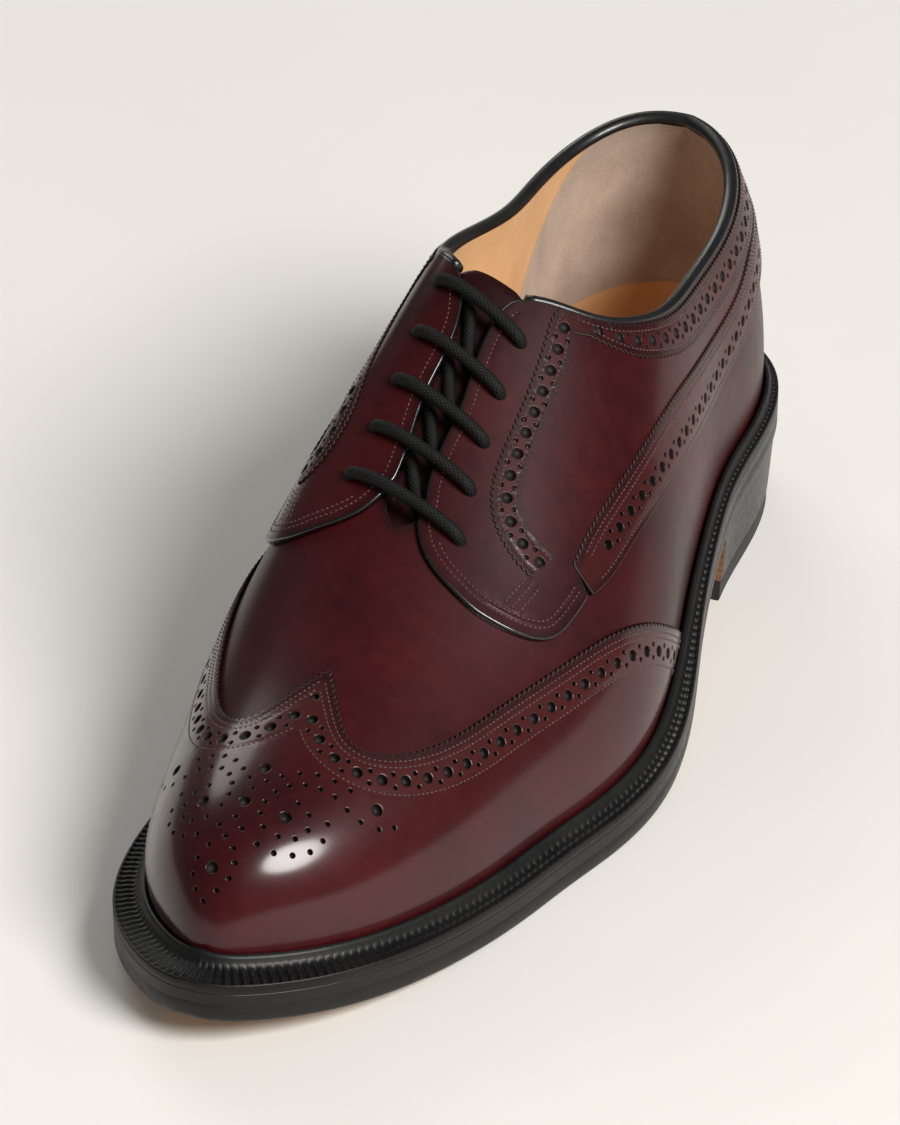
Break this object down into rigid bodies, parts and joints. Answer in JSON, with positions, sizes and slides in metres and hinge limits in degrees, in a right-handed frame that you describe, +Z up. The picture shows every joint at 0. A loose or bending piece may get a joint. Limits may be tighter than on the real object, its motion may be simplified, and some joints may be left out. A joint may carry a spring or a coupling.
{
  "type": "wing-tip derby brogue",
  "caption": "Left open-laced leather shoe with a punched wing cap, storm-welted double sole and stacked heel.",
  "frame": {"origin": "under the middle of the shoe's box, on the ground", "axes": "-Y to the toe, +Y to the heel, +X to the outer (lateral) side of this left shoe, +Z up"},
  "size_m": [0.1084, 0.305, 0.1167],
  "materials": {
    "sole_leather": "black edge dressing, tan underside",
    "welt_leather": "black, ribbed rim",
    "heel_rubber": "matt black",
    "heel_leather": "black sides, tan stacked breast",
    "insole_leather": "natural tan",
    "upper_leather": "polished burgundy",
    "band_leather": "polished burgundy, punched",
    "binding_leather": "black roll",
    "lace_cotton": "waxed black cotton"
  },
  "bodies": {
    "root": {"outsole": "sole_leather", "midsole": "sole_leather", "welt": "welt_leather", "heel_top_piece": "heel_rubber", "heel_stack": "heel_leather", "insole": "insole_leather", "upper": "upper_leather", "tongue": "upper_leather", "wing_cap": "upper_leather", "quarter_medial": "upper_leather", "quarter_lateral": "upper_leather", "heel_strap": "band_leather", "facing_band_medial": "band_leather", "facing_band_lateral": "band_leather", "collar_band_medial": "band_leather", "collar_band_lateral": "band_leather", "collar_binding": "binding_leather", "lace_bar_1": "lace_cotton", "lace_bar_2": "lace_cotton", "lace_bar_3": "lace_cotton", "lace_bar_4": "lace_cotton", "lace_bar_5": "lace_cotton"}
  },
  "joints": []
}
